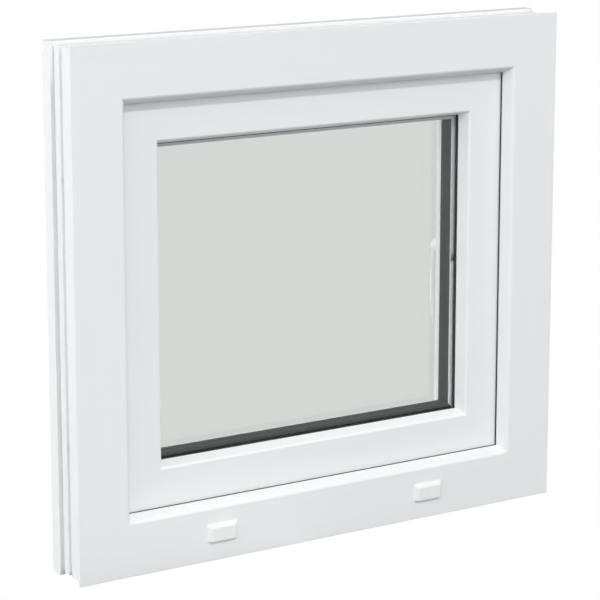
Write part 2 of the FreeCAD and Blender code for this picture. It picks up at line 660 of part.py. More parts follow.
def top_drive():
    """The top sliding rod and its cam."""
    depth = ("rail_middle - rod_width / 2", "rail_middle + rod_width / 2")
    plate = box(("stay_pin_x + 30", "half_width - sash_edge - drive_leg - travel - 2"), depth,
                ("window_height - rod_floor", "window_height - rod_edge"))
    place(plate, "top_drive_rod", depth[0])
    cam = rod("z", ("top_cam_x", "rail_middle", "window_height - rod_edge"), "rod_edge - cam_tip",
              "cam_radius")
    place(cam, "top_cam", "rail_middle")


def corner_drive():
    """The angle in the sash's upper corner that guides the band between the two rods."""
    depth = ("rail_groove_front", "rail_groove_back")
    tall = ("half_width - rail_groove_floor", "half_width - sash_edge")
    flat = ("window_height - rail_groove_floor", "window_height - sash_edge")
    leg = box(tall, depth, ("window_height - sash_edge - drive_leg", "window_height - sash_edge"))
    arm = box(("half_width - sash_edge - drive_leg", "half_width - sash_edge"), depth, flat)
    place(fuse(leg, arm), "corner_drive")


def pinion_points():
    """The pinion's outline about its own centre, with a gap facing the rack."""
    root, tip = "(pinion_radius - tooth_root)", "(pinion_radius + tooth_rise)"
    points = []
    for index in range(TOOTH_COUNT):
        middle = (index + 0.5) * 360.0 / TOOTH_COUNT
        for radius, swing in ((root, -10.5), (tip, -3), (tip, 3), (root, 10.5)):
            angle = middle + swing
            points.append((f"{radius} * cos({angle})", f"{radius} * sin({angle})"))
    return points


def gearbox():
    """The gearbox case and the pinion that turns with the spindle."""
    low, high = "handle_height - gearbox_height / 2", "handle_height + gearbox_height / 2"
    inner = "half_width - sash_edge - backset"
    case = box((f"{inner} - gearbox_back", "half_width - rod_floor - 0.4"),
               ("rail_groove_front", "rail_groove_back"), (low, high))
    depth = "rail_middle - pinion_thick / 2 - 0.4"
    chamber = rod("y", (inner, depth, "handle_height"), "pinion_thick + 0.8",
                  "pinion_radius + tooth_rise + 0.6")
    channel = box(("half_width - rack_pitch - tooth_rise - 0.5", "half_width"),
                  (depth, "rail_middle + pinion_thick / 2 + 0.4"), (f"{low} - 1", f"{high} + 1"))
    hub = rod("y", (inner, depth, "handle_height"), "rail_groove_width", "spindle_side * 0.75")
    holes = [rod("y", (inner, "rail_middle - 4", f"handle_height {way} screw_spacing / 2"),
                 "rail_groove_width", "screw_radius + screw_gap") for way in ("+", "-")]
    place(cut(case, chamber, channel, hub, *holes), "gearbox_case")
    body = doc.addObject("PartDesign::Body", "drive_pinion")
    sketch = add_sketch(body, "XZ_Plane")
    add_loop(sketch, pinion_points())
    half = "spindle_side / 2"
    add_loop(sketch, rectangle(f"-{half}", half, f"-{half}", half))
    extrude(body, "Pad", sketch, "pinion_thick", "Symmetric")
    bind(body, "Placement.Base.x", "spindle_x")
    bind(body, "Placement.Base.z", "handle_height")
    place(body, "drive_pinion", "rail_middle")


def keeps():
    """Strike plates on the frame, each with a lip just past the locked cam."""
    depth = ("rail_middle - keep_width / 2", "rail_middle + keep_width / 2")
    lip_depth = ("rail_middle + cam_radius + 3", "rail_middle + keep_width / 2")
    plates, screws = [], []
    for middle in ("low_cam_z", "high_cam_z"):
        low, high = f"{middle} - keep_length / 2 - keep_shift", f"{middle} + keep_length / 2 - keep_shift"
        base = box(("half_width - keep_floor", "half_width - frame_rebate"), depth, (low, high))
        lip = box(("half_width - keep_tip", "half_width - keep_floor"), lip_depth,
                  (f"{middle} + cam_radius + 2", high))
        plates.append(fuse(base, lip))
        for spot in (f"{low} + 6", f"{high} - 6"):
            start = ("half_width - keep_floor", "rail_middle - 5.5", spot)
            screws.append(rod("x", start, "keep_plate + wall + steel_wall + screw_reach",
                              "screw_shank"))
    place(fuse(*plates), "side_keeps")
    left = "top_cam_x - keep_length / 2 - keep_shift"
    right = "top_cam_x + keep_length / 2 - keep_shift"
    base = box((left, right), depth, ("window_height - keep_floor", "window_height - frame_rebate"))
    lip = box((left, "top_cam_x - cam_radius - 2"), lip_depth,
              ("window_height - keep_tip", "window_height - keep_floor"))
    place(fuse(base, lip), "top_keep")
    for spot in (f"{left} + 6", f"{right} - 6"):
        start = (spot, "rail_middle - 5.5", "window_height - keep_floor")
        screws.append(rod("z", start, "keep_plate + wall + steel_wall + screw_reach",
                          "screw_shank"))
    place(fuse(*screws), "keep_screws")


# Handle.
def handle_rose():
    """The handle's base on the stile, the cap over it and the two screws under the cap."""
    x0, x1 = "spindle_x - rose_width / 2", "spindle_x + rose_width / 2"
    z0, z1 = "handle_height - rose_height / 2", "handle_height + rose_height / 2"
    inset = "(rose_wall + 0.2)"
    base = box((f"{x0} + {inset}", f"{x1} - {inset}"), ("sash_back", "sash_back + 6"),
               (f"{z0} + {inset}", f"{z1} - {inset}"))
    middle = ("spindle_x", "sash_back - 1", "handle_height")
    holes = [rod("y", middle, "8", "neck_radius - 2")]
    heads = []
    for way in ("+", "-"):
        spot = f"handle_height {way} screw_spacing / 2"
        holes.append(rod("y", ("spindle_x", "sash_back - 1", spot), "8",
                         "screw_radius + screw_gap"))
        shank = rod("y", ("spindle_x", "rail_middle", spot), "sash_back + 6 - rail_middle",
                    "screw_radius")
        heads.append(fuse(shank, rod("y", ("spindle_x", "sash_back + 6", spot), "2.4",
                                     "2 * screw_radius")))
    place(cut(base, *holes), "handle_rose")
    place(fuse(*heads), "handle_screws")
    shell = box((x0, x1), ("sash_back", "sash_back + rose_depth"), (z0, z1))
    inside = box((f"{x0} + rose_wall", f"{x1} - rose_wall"),
                 ("sash_back - 1", "sash_back + rose_depth - rose_wall"),
                 (f"{z0} + rose_wall", f"{z1} - rose_wall"))
    collar = rod("y", ("spindle_x", "sash_back", "handle_height"), "rose_depth + 1",
                 "neck_radius + neck_gap")
    place(cut(shell, inside, collar), "rose_cover")


LEVER_SECTIONS = (
    # Height from the spindle, depth from the sash, half width, half thickness.
    (-109, 40, 7.5, 4.5), (-95, 45, 9, 5.5), (-60, 50, 10, 6), (-20, 48, 10, 6.5),
    (6, 44, 9.5, 7), (15, 42, 7, 5),
)


def handle_lever():
    """The lever: a bowed grip lofted from eight-sided sections, on a round neck."""
    body = doc.addObject("PartDesign::Body", "handle_lever")
    sections = []
    for drop, out, wide, thick in LEVER_SECTIONS:
        sketch = add_sketch(body, "XY_Plane", drop)
        corners = [(-wide, -thick / 2), (-wide, thick / 2), (-wide * 0.6, thick),
                   (wide * 0.6, thick), (wide, thick / 2), (wide, -thick / 2),
                   (wide * 0.6, -thick), (-wide * 0.6, -thick)]
        add_loop(sketch, [(across, out + depth) for across, depth in corners])
        sections.append(sketch)
    loft = body.newObject("PartDesign::AdditiveLoft", "Grip")
    loft.Profile = sections[0]
    loft.Sections = sections[1:]
    neck = add_sketch(body, "XZ_Plane", "-8")
    add_circle(neck, "0", "0", "neck_radius")
    extrude(body, "Pad", neck, "neck_length", "One side", True)
    half = "spindle_side / 2"
    socket = add_sketch(body, "XZ_Plane")
    add_loop(socket, rectangle(f"-{half}", half, f"-{half}", half))
    extrude(body, "Pocket", socket, "2 * neck_length")
    bind(body, "Placement.Base.x", "spindle_x")
    bind(body, "Placement.Base.z", "handle_height")
    place(body, "handle_lever", "sash_back")


def handle_spindle():
    half = "spindle_side / 2"
    depth = ("rail_middle - pinion_thick / 2", "sash_back + neck_length")
    place(box((f"spindle_x - {half}", f"spindle_x + {half}"), depth,
              (f"handle_height - {half}", f"handle_height + {half}")), "handle_spindle", depth[0])


def hinge_screws():
    """Screws of the two bearings in the frame, and of the band in the sash."""
    screws = []
    length = "plate_thick + wall + steel_wall + screw_reach"
    for across, up in (("hinge_x - 9", "tilt_z - 15"), ("hinge_x + 9", "tilt_z - 15")):
        start = (across, "flange_front - plate_thick - wall - 5", up)
        screws.append(rod("y", start, length, "screw_shank"))
    for up in ("arm_z - 4", "arm_z + 10"):
        start = ("hinge_x - 20", "flange_front - plate_thick - wall - 5.6", up)
        screws.append(rod("y", start, length, "screw_shank"))
    place(fuse(*screws), "bearing_screws")
    screws = []
    for up in ("tilt_z + foot_gap + 8", "tilt_z + foot_gap + 28"):
        start = ("hinge_x + 24", "sash_back - wall - 5", up)
        screws.append(rod("y", start, "band_plate + wall + 5", "screw_shank"))
    place(fuse(*screws), "band_screws")


def check_document():
    """Stop if any object failed or any sub-part's shape is missing or broken."""
    doc.recompute()
    for item in doc.Objects:
        if "Invalid" in item.State or "Error" in item.State:
            raise ValueError(f"{item.Label} ({item.Name}) failed: {item.State}")
    for item in SUBPARTS:
        if item.Shape.isNull() or not item.Shape.isValid() or not item.Shape.Solids:
            raise ValueError(f"{item.Label} has no valid solid")


def export_parts():
    os.makedirs("parts", exist_ok=True)
    for item in SUBPARTS:
        item.Shape.exportStep(f"parts/{item.Label}.step")


fill_sheet()
frame_bars()
steel_bars()
sash_bars()
glazing_beads()
seals()
glass_unit()
setting_blocks()
drain_caps()
lower_bearing()
corner_pivot()
corner_band()
stay_bearing()
stay_arm()
faceplates()
side_drive()
top_drive()
corner_drive()
gearbox()
keeps()
handle_rose()
handle_lever()
handle_spindle()
hinge_screws()
check_document()
export_parts()
print(len(SUBPARTS), "sub-parts")
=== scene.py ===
"""White uPVC tilt-and-turn casement window: its finishes, its mesh-made pieces and a plain studio.

Sizes in the classes are millimetres, and MM turns them to metres. X runs along the window's
width, +X to the right seen from outside, +Y points into the room and +Z up. Places come from the
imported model's own boxes, so that each piece follows its CAD node.
"""

import json
import logging
import math
from collections import defaultdict
from collections.abc import Callable, Iterable, Iterator
from contextlib import contextmanager
from dataclasses import dataclass, replace
from enum import Enum

import bpy
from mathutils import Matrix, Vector


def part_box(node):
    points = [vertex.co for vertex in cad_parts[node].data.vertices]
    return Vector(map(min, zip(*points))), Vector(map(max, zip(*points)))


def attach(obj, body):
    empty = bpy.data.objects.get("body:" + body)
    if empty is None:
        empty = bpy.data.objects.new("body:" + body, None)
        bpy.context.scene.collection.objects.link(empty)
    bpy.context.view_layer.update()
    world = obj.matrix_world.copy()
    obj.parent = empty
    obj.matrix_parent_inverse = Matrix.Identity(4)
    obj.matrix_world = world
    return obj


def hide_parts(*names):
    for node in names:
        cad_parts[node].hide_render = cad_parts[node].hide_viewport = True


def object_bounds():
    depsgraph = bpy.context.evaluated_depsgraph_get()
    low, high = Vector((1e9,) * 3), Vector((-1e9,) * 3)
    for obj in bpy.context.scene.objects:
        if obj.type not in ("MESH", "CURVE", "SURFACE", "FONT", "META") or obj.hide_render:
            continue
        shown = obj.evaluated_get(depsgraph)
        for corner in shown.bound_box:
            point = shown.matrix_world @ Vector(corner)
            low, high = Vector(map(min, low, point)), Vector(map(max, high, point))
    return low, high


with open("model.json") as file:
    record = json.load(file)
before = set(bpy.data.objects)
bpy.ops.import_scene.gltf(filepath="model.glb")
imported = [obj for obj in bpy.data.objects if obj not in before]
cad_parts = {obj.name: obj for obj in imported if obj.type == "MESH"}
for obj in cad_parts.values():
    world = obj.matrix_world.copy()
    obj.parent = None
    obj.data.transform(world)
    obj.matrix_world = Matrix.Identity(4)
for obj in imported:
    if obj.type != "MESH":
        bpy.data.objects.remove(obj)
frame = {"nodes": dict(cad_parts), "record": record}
CAD_LOW, CAD_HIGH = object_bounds()

MM = 0.001
MERGE_DISTANCE = 0.002  # closer corners of a CAD mesh are one corner
FLAT_ANGLE = 0.5  # degrees up to which neighbouring facets are one face
SHARP_ANGLE = 25.0  # degrees from which an edge of a CAD piece is rounded
LIP_FACETS = 8
SEAL_EDGE = 0.2
LOG = logging.getLogger("casement_window")
Section = list[tuple[float, float]]


class Slot(Enum):
    """The record's material slots."""

    UPVC = "upvc_white"
    GALVANISED = "galvanised_steel"
    ZINC = "zinc_hardware"
    SEAL = "seal_black"
    GASKET = "gasket_grey"
    GLASS = "glass_clear"
    SPACER = "spacer_metal"
    SEALANT = "sealant_black"
    BLOCK = "block_plastic"
    CAP = "cap_white"
    HANDLE = "handle_white"


class Side(Enum):
    """The four sides of a ring of bars, as the word in their nodes' names."""

    BOTTOM = "bottom"
    LEFT = "left"
    TOP = "top"
    RIGHT = "right"

    @property
    def bar(self) -> str:
        """A joiner's word for a bar on this side."""
        return "rail" if self.level else "stile"

    @property
    def level(self) -> bool:
        """True if a bar on this side runs level."""
        return self in (Side.BOTTOM, Side.TOP)


# ---------------------------------------------------------------- Finishes


def linear(colour: str) -> tuple[float, float, float, float]:
    """Turn an sRGB hex colour to linear.

    Args:
        colour: Six hex digits after a #.

    Returns:
        Red, green, blue and an alpha of 1.
    """
    parts = [int(colour[start:start + 2], 16) / 255 for start in (1, 3, 5)]
    red, green, blue = (
        part / 12.92 if part <= 0.04045 else ((part + 0.055) / 1.055) ** 2.4 for part in parts
    )
    return red, green, blue, 1.0


def add_node(tree: bpy.types.NodeTree, kind: str, settings: dict | None = None,
             links: dict | None = None) -> bpy.types.Node:
    """Add a node to a tree.

    Args:
        tree: The material's or world's node tree.
        kind: The node's type.
        settings: Values of its properties, and of its inputs by name or identifier.
        links: For each input to be linked, the node and output that feed it.

    Returns:
        The new node.
    """
    node = tree.nodes.new(kind)

    def socket(sockets: Iterable[bpy.types.NodeSocket], name: str) -> bpy.types.NodeSocket:
        """The enabled socket with this identifier or name."""
        return next(item for item in sockets if name in (item.identifier, item.name)
                    and item.enabled)

    for name, value in (settings or {}).items():
        if hasattr(node, name):
            setattr(node, name, value)
        else:
            socket(node.inputs, name).default_value = value
    for name, (source, output) in (links or {}).items():
        tree.links.new(socket(source.outputs, output), socket(node.inputs, name))
    return node


@dataclass(frozen=True)
class Finish:
    """A named finish. Its material is made when the first piece asks for it."""

    name: str
    slot: Slot

    def material(self) -> bpy.types.Material:
        """The finish's material, made once."""
        made = bpy.data.materials.get(self.name)
        if made:
            return made
        made = bpy.data.materials.new(self.name)
        made.use_nodes = True
        made.node_tree.nodes.clear()
        surface = self.surface(made.node_tree)
        add_node(made.node_tree, "ShaderNodeOutputMaterial",
                 links={"Surface": (surface, surface.outputs[0].name)})
        return made

    def surface(self, tree: bpy.types.NodeTree) -> bpy.types.Node:
        """Build the shader.

        Args:
            tree: The material's node tree.

        Returns:
            The shader's last node.
        """
        raise NotImplementedError


@dataclass(frozen=True)
class Grained(Finish):
    """An opaque finish with faint patches of colour and gloss, and a fine grain in its surface."""

    light: str
    dark: str
    patch: float
    grain: float
    depth: float
    smooth: float
    rough: float
    stretch: tuple[float, float, float] = (1.0, 1.0, 1.0)
    metallic: float = 0.0
    ior: float = 1.5

    def surface(self, tree: bpy.types.NodeTree) -> bpy.types.Node:
        """Patches drive colour and roughness, and the grain drives a bump."""
        place = add_node(tree, "ShaderNodeTexCoord")
        drawn = add_node(tree, "ShaderNodeMapping", {"Scale": self.stretch},
                         {"Vector": (place, "Object")})
        patches = add_node(tree, "ShaderNodeTexNoise",
                           {"Scale": 1 / (self.patch * MM), "Detail": 3.0, "Roughness": 0.55},
                           {"Vector": (drawn, "Vector")})
        grains = add_node(tree, "ShaderNodeTexNoise",
                          {"Scale": 1 / (self.grain * MM), "Detail": 2.0, "Roughness": 0.5},
                          {"Vector": (drawn, "Vector")})
        colour = add_node(tree, "ShaderNodeMix",
                          {"data_type": "RGBA", "A_Color": linear(self.dark),
                           "B_Color": linear(self.light)},
                          {"Factor_Float": (patches, "Fac")})
        gloss = add_node(tree, "ShaderNodeMapRange",
                         {"From Min": 0.3, "From Max": 0.7, "To Min": self.smooth,
                          "To Max": self.rough},
                         {"Value": (patches, "Fac")})
        bump = add_node(tree, "ShaderNodeBump", {"Strength": 1.0, "Distance": self.depth * MM},
                        {"Height": (grains, "Fac")})
        settings = {"Metallic": self.metallic}
        if self.metallic == 0.0:
            settings["IOR"] = self.ior
        return add_node(tree, "ShaderNodeBsdfPrincipled", settings,
                        {"Base Color": (colour, "Result_Color"), "Roughness": (gloss, "Result"),
                         "Normal": (bump, "Normal")})


@dataclass(frozen=True)
class Spangled(Finish):
    """Hot-dip galvanised strip: flat zinc crystals, each with its own grey and gloss."""

    light: str
    dark: str
    crystal: float

    def surface(self, tree: bpy.types.NodeTree) -> bpy.types.Node:
        """Each crystal's random value picks its grey and its roughness."""
        place = add_node(tree, "ShaderNodeTexCoord")
        crystals = add_node(tree, "ShaderNodeTexVoronoi", {"Scale": 1 / (self.crystal * MM)},
                            {"Vector": (place, "Object")})
        shade = add_node(tree, "ShaderNodeSeparateColor", links={"Color": (crystals, "Color")})
        colour = add_node(tree, "ShaderNodeMix",
                          {"data_type": "RGBA", "A_Color": linear(self.dark),
                           "B_Color": linear(self.light)},
                          {"Factor_Float": (shade, "Red")})
        gloss = add_node(tree, "ShaderNodeMapRange", {"To Min": 0.32, "To Max": 0.52},
                         {"Value": (shade, "Green")})
        return add_node(tree, "ShaderNodeBsdfPrincipled", {"Metallic": 1.0},
                        {"Base Color": (colour, "Result_Color"), "Roughness": (gloss, "Result")})


@dataclass(frozen=True)
class FloatGlass(Finish):
    """Clear float glass that lets lamps through, with the faint waviness of the float line."""

    tint: str
    wave: float
    wave_depth: float

    def surface(self, tree: bpy.types.NodeTree) -> bpy.types.Node:
        """A refracting shader, and a clear one in its place for the rays of lamps."""
        place = add_node(tree, "ShaderNodeTexCoord")
        waves = add_node(tree, "ShaderNodeTexNoise",
                         {"Scale": 1 / (self.wave * MM), "Detail": 1.0},
                         {"Vector": (place, "Object")})
        bump = add_node(tree, "ShaderNodeBump",
                        {"Strength": 1.0, "Distance": self.wave_depth * MM},
                        {"Height": (waves, "Fac")})
        glass = add_node(tree, "ShaderNodeBsdfPrincipled",
                         {"Base Color": linear(self.tint), "Roughness": 0.0, "IOR": 1.52,
                          "Transmission Weight": 1.0},
                         {"Normal": (bump, "Normal")})
        clear = add_node(tree, "ShaderNodeBsdfTransparent", {"Color": linear(self.tint)})
        ray = add_node(tree, "ShaderNodeLightPath")
        mix = add_node(tree, "ShaderNodeMixShader", links={"Fac": (ray, "Is Shadow Ray")})
        tree.links.new(glass.outputs[0], mix.inputs[1])
        tree.links.new(clear.outputs[0], mix.inputs[2])
        return mix


# Extruded white uPVC: drawn through a die, so that its gloss runs in faint streaks along the bar.
UPVC_LEVEL = Grained("white_upvc_extruded_level", Slot.UPVC, "#f1f2f3", "#eff0f1", 5, 1.2, 0.003,
                     0.30, 0.38, (0.03, 1.0, 1.0), ior=1.54)
UPVC_UPRIGHT = replace(UPVC_LEVEL, name="white_upvc_extruded_upright", stretch=(1.0, 1.0, 0.03))
# Injection-moulded cap: the same white, a little more matt, with a fine spark-eroded grain.
CAP_WHITE = Grained("white_polymer_moulded_cap", Slot.CAP, "#f3f4f4", "#eef0f0", 12, 0.8, 0.008,
                    0.36, 0.44, ior=1.5)
# Powder-coated die-cast aluminium: satin, with the fine orange peel of a baked coat.
HANDLE_WHITE = Grained("white_powder_coat_on_cast_aluminium", Slot.HANDLE, "#f6f7f6", "#f1f3f2",
                       14, 1.6, 0.02, 0.26, 0.34, ior=1.5)
# Zinc-plated steel: bright silver with a slightly cloudy passivated skin.
ZINC = Grained("zinc_plated_steel_passivated", Slot.ZINC, "#d2d4d6", "#b4b7bb", 9, 0.5, 0.006,
               0.24, 0.40, metallic=1.0)
# Hot-dip galvanised strip: crystals about 9 mm across.
GALVANISED = Spangled("galvanised_steel_strip", Slot.GALVANISED, "#c4c8ca", "#9da2a6", 9)
# Extruded EPDM rubber: matt black with a dusty bloom.
EPDM = Grained("black_epdm_extruded", Slot.SEAL, "#242425", "#161617", 7, 0.35, 0.02, 0.55, 0.72,
               ior=1.52)
# Co-extruded soft gasket: near black, a shade smoother than the seals.
GASKET = Grained("black_soft_gasket_coextruded", Slot.GASKET, "#2a2b2b", "#1b1c1c", 7, 0.35, 0.015,
                 0.45, 0.6, ior=1.5)
# Polysulphide edge sealant: trowelled black, with low lumps a few millimetres long.
SEALANT = Grained("black_polysulphide_sealant", Slot.SEALANT, "#1f1f20", "#131314", 10, 4, 0.25,
                  0.5, 0.7, ior=1.55)
# Setting blocks: moulded polypropylene in a slate blue.
BLOCK = Grained("slate_polypropylene_moulded", Slot.BLOCK, "#8b96a3", "#7b8795", 10, 0.6, 0.01,
                0.45, 0.55, ior=1.49)
# Warm-edge spacer bar: black-coated strip, satin, so that it mirrors very little. On the sill bar's
# front flank this black is also painted shade.
SPACER_BLACK = Grained("black_coated_spacer_strip", Slot.SPACER, "#1f2121", "#181919", 6, 0.5,
                       0.004, 0.48, 0.6, ior=1.25)
# Its front flank on the uprights and the top: bare rolled aluminium, brushed along the strip. The
# sill bar's flank is bent from the same strip but kept black as painted shade.
SPACER_FLANK_UNSHADED = Grained("spacer_flank_bare_sill_in_painted_shade", Slot.SPACER, "#d0d2d4", "#bdbfc2", 5, 0.4,
                      0.004, 0.4, 0.5, metallic=0.35)
# Clear float glass, with the faintly green tint of its iron.
GLASS = FloatGlass("clear_float_glass", Slot.GLASS, "#fbfcfb", 90, 0.004)


# ---------------------------------------------------------------- Bench work


def take_up(piece: bpy.types.Object) -> None:
    """Make a piece the only selected object, and the active one.

    Args:
        piece: The piece to select.
    """
    for other in bpy.context.selected_objects:
        other.select_set(False)
    piece.select_set(True)
    bpy.context.view_layer.objects.active = piece


@contextmanager
def editing(piece: bpy.types.Object, kind: str = "FACE") -> Iterator[None]:
    """Open a piece in edit mode.

    Args:
        piece: The piece to edit.
        kind: What is selected there: VERT, EDGE or FACE.
    """
    take_up(piece)
    bpy.ops.object.mode_set(mode="EDIT")
    bpy.ops.mesh.select_mode(type=kind)
    yield
    bpy.ops.object.mode_set(mode="OBJECT")


def choose(piece: bpy.types.Object, kind: str, test: Callable[[object], bool]) -> int:
    """Select only the faces or edges that pass a test.

    Args:
        piece: The piece whose faces or edges are tried.
        kind: EDGE or FACE.
        test: Says which are wanted.

    Returns:
        How many were selected.
    """
    with editing(piece, kind):
        bpy.ops.mesh.select_all(action="DESELECT")
    items = piece.data.polygons if kind == "FACE" else piece.data.edges
    count = 0
    for item in items:
        item.select = bool(test(item))
        count += item.select
    return count


def apply_modifier(piece: bpy.types.Object, kind: str, **settings: object) -> None:
    """Add a modifier to a piece and apply it.

    Args:
        piece: The piece to change.
        kind: The modifier's type.
        settings: Values of its properties.
    """
    take_up(piece)
    modifier = piece.modifiers.new(kind.lower(), kind)
    for name, value in settings.items():
        setattr(modifier, name, value)
    bpy.ops.object.modifier_apply(modifier=modifier.name)


def smooth(piece: bpy.types.Object, angle: float = 35.0) -> None:
    """Shade a piece smooth across edges flatter than an angle, keeping broad faces flat.

    Args:
        piece: The piece to shade.
        angle: The least angle, in degrees, that stays a crisp edge.
    """
    take_up(piece)
    bpy.ops.object.shade_smooth_by_angle(angle=math.radians(angle))
    apply_modifier(piece, "WEIGHTED_NORMAL", keep_sharp=True, weight=80)


def settle(piece: bpy.types.Object) -> None:
    """Bring a piece's object to the origin, unturned and unscaled, with its place in its mesh."""
    take_up(piece)
    bpy.ops.object.transform_apply(location=True, rotation=True, scale=True)


def block(middle: Vector, size: Vector, turn: float = 0.0) -> bpy.types.Object:
    """Model a plain block.

    Args:
        middle: Its middle.
        size: Its lengths along the three axes.
        turn: Its turn about the upright axis, in radians.

    Returns:
        The block.
    """
    bpy.ops.object.select_all(action="DESELECT")
    bpy.ops.mesh.primitive_cube_add(size=1, location=middle, rotation=(0, 0, turn))
    piece = bpy.context.object
    piece.scale = size
    settle(piece)
    return piece


def cylinder(middle: Vector, radius: float, length: float, facets: int,
             into_room: bool = True) -> bpy.types.Object:
    """Model a plain cylinder.

    Args:
        middle: Its middle.
        radius: Its radius in millimetres.
        length: Its length in metres.
        facets: How many flat sides it has.
        into_room: True if its axis points into the room, False if it points up.

    Returns:
        The cylinder.
    """
    bpy.ops.object.select_all(action="DESELECT")
    bpy.ops.mesh.primitive_cylinder_add(
        vertices=facets, radius=radius * MM, depth=length, location=middle,
        rotation=(math.pi / 2 if into_room else 0, 0, 0))
    piece = bpy.context.object
    settle(piece)
    return piece


def bevel(piece: bpy.types.Object, kind: str, test: Callable[[object], bool], width: float,
          facets: int, clamp: bool = False) -> None:
    """Bevel the edges, or the borders of the faces, that pass a test.

    Args:
        piece: The piece to bevel.
        kind: EDGE or FACE.
        test: Says which are wanted.
        width: The bevel's width in millimetres.
        facets: How many facets it has.
        clamp: True if bevels stop where they would meet.
    """
    if choose(piece, kind, test):
        with editing(piece, kind):
            bpy.ops.mesh.bevel(offset=width * MM, segments=facets, profile=0.5,
                               affect="EDGES", clamp_overlap=clamp)


def soften(piece: bpy.types.Object, width: float, facets: int) -> None:
    """Bevel all of a swept piece's crisp edges.

    Args:
        piece: The piece to bevel.
        width: The bevel's width in millimetres.
        facets: How many facets it has.
    """
    apply_modifier(piece, "BEVEL", width=width * MM, segments=facets, limit_method="ANGLE")


def hollow(piece: bpy.types.Object, test: Callable[[object], bool], wall: float) -> None:
    """Turn a block into a shell with a wall, open at the faces that pass a test.

    Args:
        piece: The block.
        test: Says which faces are open.
        wall: The wall's thickness in millimetres.
    """
    choose(piece, "FACE", test)
    with editing(piece):
        bpy.ops.mesh.delete(type="FACE")
    apply_modifier(piece, "SOLIDIFY", thickness=wall * MM, offset=-1.0, use_even_offset=True)


def edge_normals(piece: bpy.types.Object) -> dict[tuple[int, int], list[Vector]]:
    """Collect the normals of the faces that meet at each edge.

    Args:
        piece: A piece with its doubles merged.

    Returns:
        The normals by the edge's key.
    """
    normals = defaultdict(list)
    for face in piece.data.polygons:
        for key in face.edge_keys:
            normals[key].append(face.normal.copy())
    return normals


def bevel_edges(piece: bpy.types.Object, width: float, segments: int, least_length: float,
                spare_mitres: bool) -> None:
    """Round a piece's long sharp edges.

    Args:
        piece: A piece with its doubles merged.
        width: The bevel's width in millimetres.
        segments: How many facets the bevel has.
        least_length: Edges shorter than this, in millimetres, stay as they are.
        spare_mitres: True if the edges of 45 degree end faces stay as they are.
    """
    normals = edge_normals(piece)

    def mitred(normal: Vector) -> bool:
        """True for the normal of a 45 degree end face."""
        return abs(normal.y) < 0.01 and abs(abs(normal.x) - abs(normal.z)) < 0.01

    def wanted(edge: bpy.types.MeshEdge) -> bool:
        """True for a long sharp edge that isn't spared."""
        sides = normals[edge.key]
        start, end = (piece.data.vertices[index].co for index in edge.vertices)
        if len(sides) != 2 or (end - start).length < least_length * MM:
            return False
        if spare_mitres and any(mitred(side) for side in sides):
            return False
        return sides[0].angle(sides[1], 0.0) > math.radians(SHARP_ANGLE)

    bevel(piece, "EDGE", wanted, width, segments, clamp=True)


def round_lip(piece: bpy.types.Object, width: float) -> None:
    """Round the broad edge where a bar's outer face turns into its sloped lip.

    Args:
        piece: A bar with its doubles merged.
        width: How far the rounding reaches along each face, in millimetres.
    """
    normals = edge_normals(piece)

    def at_lip(edge: bpy.types.MeshEdge) -> bool:
        """True for an edge between an outer face and a slope."""
        depths = [normal.y for normal in normals[edge.key]]
        return min(depths) < -0.95 and -0.9 < max(depths) < -0.1

    bevel(piece, "EDGE", at_lip, width, LIP_FACETS)


def merged_copy(node: str, name: str) -> bpy.types.Object:
    """Copy a CAD node's mesh, merge its loose triangles and dissolve its flat faces.

    Args:
        node: The CAD node to copy.
        name: The new piece's name.

    Returns:
        The new piece.
    """
    piece = bpy.data.objects.new(name, frame["nodes"][node].data.copy())
    bpy.context.scene.collection.objects.link(piece)
    piece.data.materials.clear()
    with editing(piece, "VERT"):
        bpy.ops.mesh.customdata_custom_splitnormals_clear()
        bpy.ops.mesh.select_all(action="SELECT")
        bpy.ops.mesh.remove_doubles(threshold=MERGE_DISTANCE * MM)
        bpy.ops.mesh.dissolve_limited(angle_limit=math.radians(FLAT_ANGLE))
    return piece


def refine(node: str, width: float, segments: int = 2, least_length: float = 2.0,
           spare_mitres: bool = False, lip: float = 0.0) -> bpy.types.Object:
    """Copy a CAD node whose shape is right, and give its sharp edges their real small radius.

    Args:
        node: The CAD node to copy.
        width: The edge bevel's width in millimetres.
        segments: How many facets the bevel has.
        least_length: Edges shorter than this, in millimetres, stay crisp.
        spare_mitres: True for a mitred bar, whose end faces stay crisp so that corners close.
        lip: How far the rounding at a bar's sloped lip reaches, in millimetres.

    Returns:
        The refined piece.
    """
    piece = merged_copy(node, f"{node}_finished")
    if lip:
        round_lip(piece, lip)
    bevel_edges(piece, width, segments, least_length, spare_mitres)
    smooth(piece)
    apply_modifier(piece, "TRIANGULATE", min_vertices=5, keep_custom_normals=True)
    return piece


def hand_over(piece: bpy.types.Object, finish: Finish, body: str, *nodes: str) -> None:
    """Dress a piece and let it ride on its body in place of its CAD nodes.

    Args:
        piece: The finished piece.
        finish: Its finish.
        body: The CAD body that it rides on.
        nodes: The CAD nodes that it stands for.
    """
    piece.data.materials.clear()
    piece.data.materials.append(finish.material())
    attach(piece, body)
    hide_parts(*nodes)
    LOG.info("%s: %d faces, %s", piece.name, len(piece.data.polygons), finish.name)


